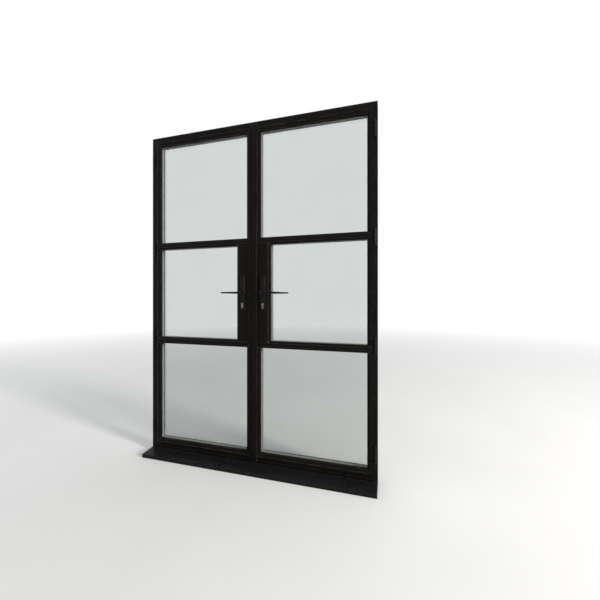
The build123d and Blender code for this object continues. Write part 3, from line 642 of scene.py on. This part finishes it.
def seam(bm, corner, across, along, line):
    """A hairline over a mitre: a thin closed strip down the diagonal of two directions.

    The line gives each point's reach inwards and its depth, and which way is outward."""
    profile, outward = line
    sideways = (Vector(across) - Vector(along)).normalized() * (SEAM_WIDTH / 2)
    diagonal = Vector(across) + Vector(along)
    section = ((-1, SEAM_PROUD), (1, SEAM_PROUD), (1, -SEAM_SUNK), (-1, -SEAM_SUNK))
    rows = []
    for reach, depth in profile:
        centre = Vector(corner) + diagonal * reach
        row = []
        for side, lift in section:
            out = Vector((0, depth + outward * lift, 0))
            row.append(bm.verts.new(centre + sideways * side + out))
        rows.append(row)
    for low, high in zip(rows, rows[1:]):
        for i in range(len(section)):
            j = (i + 1) % len(section)
            bm.faces.new((low[i], low[j], high[j], high[i]))
    bm.faces.new(rows[0][::-1])
    bm.faces.new(rows[-1])


# Where the leaf's bevel and back end, and the frame's seal and back, inwards from the edge
BEVEL_START = LEAF_MEMBER - LEAF_BEVEL
BEVEL_END = LEAF_MEMBER - ARRIS
LEAF_BACK_END = LEAF_MEMBER - REBATE - SEAM_OFF_EDGE
SEAL_START = STOP_REACH - SEAL_SETBACK - SEAL_WIDTH
FRAME_BACK_END = STOP_REACH - ARRIS - SEAM_OFF_EDGE

# The lines over the face, the bevel or stop, and the back
LEAF_LINES = (
    ([(SEAM_IN_ARRIS, 0.0), (BEVEL_START - ARRIS, 0.0)], -1),
    ([(BEVEL_START, BEVEL_STEP), (BEVEL_END, BEVEL_BACK - LIP_FALL)], -1),
    ([(SEAM_OFF_EDGE, LEAF_DEPTH), (LEAF_BACK_END, LEAF_DEPTH)], 1),
)
FRAME_LINES = (
    ([(SEAM_OFF_EDGE, 0.0), (FRAME_FACE - ARRIS, 0.0)], -1),
    ([(FRAME_FACE + SEAM_OFF_CORNER, STOP_FRONT), (SEAL_START - SEAM_OFF_SEAL, STOP_FRONT)], -1),
    ([(SEAM_OFF_EDGE, FRAME_DEPTH), (FRAME_BACK_END, FRAME_DEPTH)], 1),
)

for side, word in ((-1, "left"), (1, "right")):
    bm = bmesh.new()
    for edge, inward in ((side * LEAF_IN, side), (side * LEAF_OUT, -side)):
        for height, rise in ((LEAF_BOTTOM, 1), (LEAF_TOP, -1)):
            for line in LEAF_LINES:
                seam(bm, (edge, 0, height), (inward, 0, 0), (0, 0, rise), line)
    add_piece(word + "_mitre_lines", bm, word + "_leaf", "seal_rubber")

bm = bmesh.new()
for side in (-1, 1):
    for line in FRAME_LINES:
        seam(bm, (side * HALF_WIDTH, 0, FRAME_TOP), (-side, 0, 0), (0, 0, -1), line)
add_piece("frame_mitre_lines", bm, "frame", "seal_rubber")


# Floor, light and camera

def seen_ray(tree):
    """1 for a ray that shows the surroundings: from the camera, in gloss or through glass."""
    rays = tree.nodes.new("ShaderNodeLightPath")
    share = rays.outputs["Is Camera Ray"]
    for name in ("Is Glossy Ray", "Is Transmission Ray"):
        most = tree.nodes.new("ShaderNodeMath")
        most.operation = "MAXIMUM"
        tree.links.new(share, most.inputs[0])
        tree.links.new(rays.outputs[name], most.inputs[1])
        share = most.outputs[0]
    return share


def floor_material():
    """A pale matt floor that fades to white far from the doors."""
    s = Shader("pale_floor")
    tone = s.spread(s.noise(scale=1.5, detail=4.0), (0.3, 0.7))
    s.set(Base_Color=s.mix(tone, FLOOR_DARK, FLOOR_LIGHT))
    s.set(Roughness=0.9)
    s.set(Specular_IOR_Level=0.1)
    reach = s.node("ShaderNodeVectorMath")
    reach.operation = "LENGTH"
    s.link(s.place, reach.inputs[0])
    far = s.spread(reach.outputs["Value"], FLOOR_FADE)
    white = s.node("ShaderNodeEmission")
    s.overlay(s.math("MULTIPLY", far, seen_ray(s.tree)), white.outputs[0])
    return s.material


def add_floor():
    bm = bmesh.new()
    bmesh.ops.create_circle(bm, cap_ends=True, segments=FLOOR_STEPS, radius=FLOOR_RADIUS)
    floor = add_object("floor", bm)
    floor.data.materials.append(floor_material())


def all_but_panes():
    """What the lamps light: everything but the panes, so that no pane mirrors a lamp."""
    panes = bpy.data.collections.new("panes")
    for word in ("left", "right"):
        for sheet in ("outer", "inner"):
            panes.objects.link(nodes[word + "_" + sheet + "_panes"])
    for entry in panes.collection_objects:
        entry.light_linking.link_state = "EXCLUDE"
    return panes


def add_lamp(name, place, target, width, height, power, tint, lit):
    """A soft box that faces a point."""
    data = bpy.data.lights.new(name, "AREA")
    data.shape = "RECTANGLE"
    data.size = width
    data.size_y = height
    data.energy = power
    data.color = tint
    lamp = bpy.data.objects.new(name, data)
    lamp.location = place
    aim = Vector(target) - Vector(place)
    lamp.rotation_euler = aim.to_track_quat("-Z", "Y").to_euler()
    lamp.visible_transmission = False
    lamp.light_linking.receiver_collection = lit
    bpy.context.scene.collection.objects.link(lamp)


def add_lamps():
    """A warm lamp far off on the right, as the photograph's sun, and a weak one on the left."""
    lit = all_but_panes()
    add_lamp(
        "key",
        place=(7.5, -2.2, 2.7),
        target=(0.0, 0.0, 1.1),
        width=1.2,
        height=2.4,
        power=800.0,
        tint=(1.0, 0.965, 0.92),
        lit=lit,
    )
    add_lamp(
        "fill",
        place=(-4.2, -1.3, 2.0),
        target=(0.0, 0.0, 1.0),
        width=1.8,
        height=1.8,
        power=20.0,
        tint=(0.95, 0.975, 1.0),
        lit=lit,
    )


def add_world():
    """Even light on the object, and plain white wherever the surroundings are seen."""
    world = bpy.data.worlds.new("studio")
    world.use_nodes = True
    tree = world.node_tree
    tree.nodes.clear()
    output = tree.nodes.new("ShaderNodeOutputWorld")
    both = tree.nodes.new("ShaderNodeMixShader")
    tree.links.new(seen_ray(tree), both.inputs[0])
    lights = ((both.inputs[1], DAYLIGHT, DAYLIGHT_LEVEL), (both.inputs[2], WHITE, WHITE_LEVEL))
    for socket, tint, level in lights:
        light = tree.nodes.new("ShaderNodeBackground")
        light.inputs["Color"].default_value = tint
        light.inputs["Strength"].default_value = level
        tree.links.new(light.outputs[0], socket)
    tree.links.new(both.outputs[0], output.inputs["Surface"])
    bpy.context.scene.world = world


def add_camera():
    """The photograph's camera: level, with a wide lens, turned a little to the left."""
    data = bpy.data.cameras.new("camera")
    data.lens = CAMERA_LENS
    data.sensor_width = CAMERA_SENSOR
    data.sensor_fit = "HORIZONTAL"
    data.shift_y = CAMERA_SHIFT
    data.clip_start = CAMERA_NEAR
    camera = bpy.data.objects.new("camera", data)
    camera.location = CAMERA_PLACE
    camera.rotation_euler = (math.pi / 2, 0.0, CAMERA_TURN)
    bpy.context.scene.collection.objects.link(camera)
    bpy.context.scene.camera = camera


add_floor()
add_world()
add_lamps()
add_camera()
bpy.context.scene.view_settings.view_transform = "Standard"
